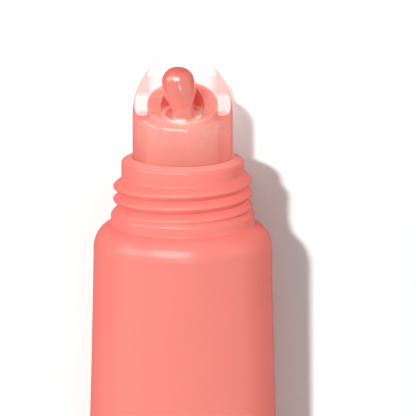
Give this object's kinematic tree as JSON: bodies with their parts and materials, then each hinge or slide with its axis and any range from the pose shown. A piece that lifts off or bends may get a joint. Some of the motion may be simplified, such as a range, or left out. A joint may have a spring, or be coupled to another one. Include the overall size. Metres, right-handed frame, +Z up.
{
  "type": "lip balm tube",
  "caption": "Squeeze tube of lip balm lying on its back, with a slanted clear applicator and its screw cap standing off on the same axis.",
  "frame": {"origin": "middle of the whole assembly on the surface it lies on", "axes": "+Y along the neck axis from the tail seal to the cap, +Z up from the table, +X to the right when the head points away"},
  "size_m": [0.0298, 0.1406, 0.019],
  "materials": {
    "coral_plastic": "satin moulded plastic, smooth, warm coral pink",
    "clear_plastic": "clear polished plastic",
    "balm": "glossy soft balm, slightly translucent",
    "liner_plastic": "plain moulded white plastic",
    "gasket_foam": "soft white sealing foam"
  },
  "bodies": {
    "tube": {"tube_sleeve": "coral_plastic", "tube_head": "coral_plastic", "applicator_tip": "clear_plastic", "balm_reservoir": "balm"},
    "balm": {"balm_column": "balm"},
    "gasket": {"cap_gasket": "gasket_foam"},
    "cap": {"cap_shell": "coral_plastic", "cap_liner": "liner_plastic"}
  },
  "joints": [
    {"name": "balm_feed", "type": "slide", "parent": "tube", "child": "balm", "axis": [0, 1, 0], "range_m": [-0.0045, 0]},
    {"name": "cap_travel", "type": "slide", "parent": "tube", "child": "gasket", "axis": [0, -1, 0], "range_m": [0, 0.03562]},
    {"name": "cap_turn", "type": "hinge", "parent": "gasket", "child": "cap", "pos_m": [0, 0.05611, 0.0095], "axis": [0, -1, 0], "range_deg": [0, 9360]}
  ],
  "couplings": [
    {"joint": "cap_travel", "follows": "cap_turn", "m_per_rad": 0.00021804}
  ]
}
